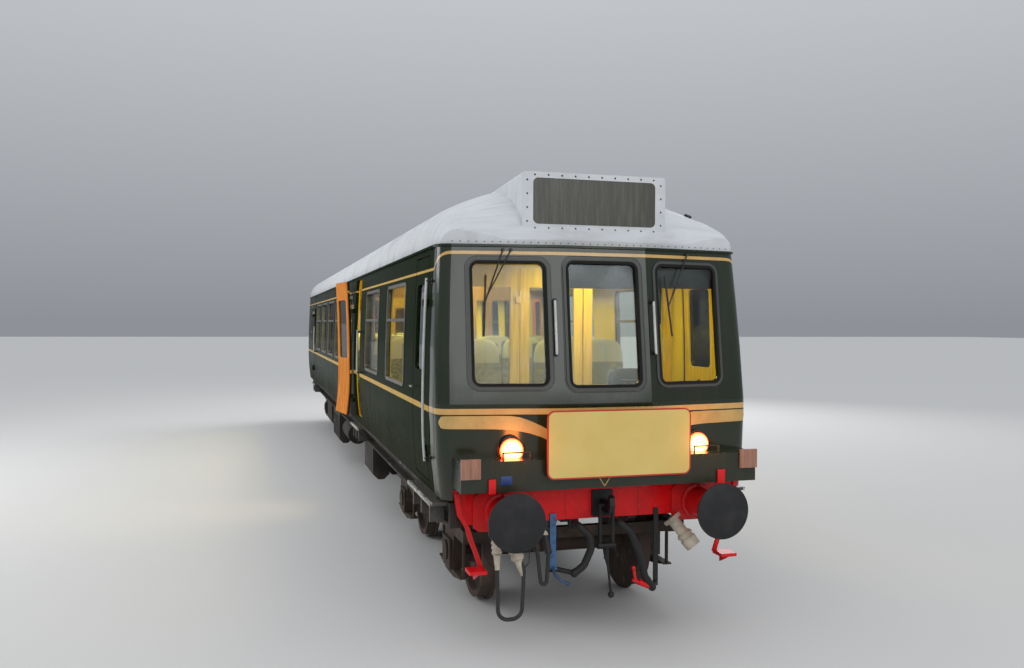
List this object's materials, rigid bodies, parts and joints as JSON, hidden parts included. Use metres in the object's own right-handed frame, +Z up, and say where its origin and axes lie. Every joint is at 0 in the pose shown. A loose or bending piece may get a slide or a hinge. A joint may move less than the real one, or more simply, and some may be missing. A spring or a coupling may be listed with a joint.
{
  "type": "diesel railcar driving coach",
  "caption": "Full-size driving coach of a diesel railcar set: glazed cab, dome roof with indicator box, saloons with seats, hinged doors, buffers and bogies on turning wheelsets.",
  "frame": {"origin": "at track level of the flange tips, on the centre line, midway between the front and inner buffer faces", "axes": "-Y towards the cab end, +X towards the right side seen facing the cab, +Z up"},
  "size_m": [3.0463, 18.37, 3.968],
  "materials": {
    "green_paint": "gloss",
    "roof_paint": "matt",
    "headcode_glass": "smooth",
    "window_glass": "smooth",
    "board_paint": "satin",
    "wood": "satin",
    "lamp": "satin",
    "rail_paint": "satin",
    "red_paint": "gloss",
    "buffer_steel": "satin",
    "coupling_steel": "rough",
    "rubber": "matt",
    "lining_laminate": "satin",
    "seat_fabric": "matt",
    "cab_grey": "satin",
    "floor_lino": "matt",
    "black_frame": "matt",
    "wheel_steel": "rough"
  },
  "bodies": {
    "coach": {"body_side_left": "green_paint", "body_side_right": "green_paint", "brake_hoses": "rubber", "buffers_front": "buffer_steel", "buffers_rear": "buffer_steel", "cab_bulkhead": "lining_laminate", "cab_desk": "cab_grey", "cab_dome": "roof_paint", "cab_front": "green_paint", "cab_window_seals": "rubber", "cab_windows": "window_glass", "corner_pads": "wood", "coupling_front": "coupling_steel", "coupling_rear": "coupling_steel", "driver_seat": "cab_grey", "engines": "black_frame", "equipment_boxes": "black_frame", "exhausts": "black_frame", "fairing": "green_paint", "floor": "floor_lino", "footsteps": "red_paint", "front_beam": "red_paint", "gangway": "rubber", "handrails": "rail_paint", "headboard": "board_paint", "headcode_panel": "headcode_glass", "jumper_cables": "rubber", "lavatory": "lining_laminate", "luggage_racks": "wood", "marker_lamps": "lamp", "partitions": "lining_laminate", "radiators": "black_frame", "rear_beam": "red_paint", "rear_end": "green_paint", "roof": "roof_paint", "roof_vents": "roof_paint", "seats_first": "seat_fabric", "seats_second": "seat_fabric", "side_windows_left": "window_glass", "side_windows_right": "window_glass", "underframe": "black_frame", "window_frames_left": "rail_paint", "window_frames_right": "rail_paint", "wipers": "coupling_steel"},
    "bogie_front": {"bogie_front": "black_frame"},
    "bogie_rear": {"bogie_rear": "black_frame"},
    "cab_door_left": {"cab_door_left": "green_paint"},
    "cab_door_right": {"cab_door_right": "green_paint"},
    "cab_inner_door": {"cab_inner_door": "lining_laminate"},
    "door_front_left": {"door_front_left": "green_paint"},
    "door_front_right": {"door_front_right": "green_paint"},
    "door_rear_left": {"door_rear_left": "green_paint"},
    "door_rear_right": {"door_rear_right": "green_paint"},
    "gangway_door": {"gangway_door": "green_paint"},
    "wheelset_front_1": {"wheelset_front_1": "wheel_steel"},
    "wheelset_front_2": {"wheelset_front_2": "wheel_steel"},
    "wheelset_rear_1": {"wheelset_rear_1": "wheel_steel"},
    "wheelset_rear_2": {"wheelset_rear_2": "wheel_steel"}
  },
  "joints": [
    {"name": "bogie_front_swivel", "type": "hinge", "parent": "coach", "child": "bogie_front", "pos_m": [0, -6.148, 0.9], "axis": [0, 0, 1], "range_deg": [-5, 5]},
    {"name": "wheelset_front_1_turn", "type": "hinge", "parent": "bogie_front", "child": "wheelset_front_1", "pos_m": [0, -7.4435, 0.485], "axis": [1, 0, 0], "continuous": true},
    {"name": "wheelset_front_2_turn", "type": "hinge", "parent": "bogie_front", "child": "wheelset_front_2", "pos_m": [0, -4.8525, 0.485], "axis": [1, 0, 0], "continuous": true},
    {"name": "bogie_rear_swivel", "type": "hinge", "parent": "coach", "child": "bogie_rear", "pos_m": [0, 6.044, 0.9], "axis": [0, 0, 1], "range_deg": [-5, 5]},
    {"name": "wheelset_rear_1_turn", "type": "hinge", "parent": "bogie_rear", "child": "wheelset_rear_1", "pos_m": [0, 4.7485, 0.485], "axis": [1, 0, 0], "continuous": true},
    {"name": "wheelset_rear_2_turn", "type": "hinge", "parent": "bogie_rear", "child": "wheelset_rear_2", "pos_m": [0, 7.3395, 0.485], "axis": [1, 0, 0], "continuous": true},
    {"name": "cab_door_left_hinge", "type": "hinge", "parent": "coach", "child": "cab_door_left", "pos_m": [-1.407, -8.155, 2], "axis": [0, 0, 1], "range_deg": [0, 90]},
    {"name": "door_front_left_hinge", "type": "hinge", "parent": "coach", "child": "door_front_left", "pos_m": [-1.407, -2.455, 2], "axis": [0, 0, 1], "range_deg": [0, 173]},
    {"name": "door_rear_left_hinge", "type": "hinge", "parent": "coach", "child": "door_rear_left", "pos_m": [-1.407, 6.675, 2], "axis": [0, 0, -1], "range_deg": [0, 173]},
    {"name": "cab_door_right_hinge", "type": "hinge", "parent": "coach", "child": "cab_door_right", "pos_m": [1.407, -8.155, 2], "axis": [0, 0, -1], "range_deg": [0, 90]},
    {"name": "door_front_right_hinge", "type": "hinge", "parent": "coach", "child": "door_front_right", "pos_m": [1.407, -2.455, 2], "axis": [0, 0, 1], "range_deg": [0, 173]},
    {"name": "door_rear_right_hinge", "type": "hinge", "parent": "coach", "child": "door_rear_right", "pos_m": [1.407, 6.675, 2], "axis": [0, 0, 1], "range_deg": [0, 173]},
    {"name": "cab_inner_door_hinge", "type": "hinge", "parent": "coach", "child": "cab_inner_door", "pos_m": [-0.33, -7.375, 2], "axis": [0, 0, -1], "range_deg": [0, 90]},
    {"name": "gangway_door_hinge", "type": "hinge", "parent": "coach", "child": "gangway_door", "pos_m": [0.33, 8.645, 2], "axis": [0, 0, 1], "range_deg": [0, 90]}
  ]
}
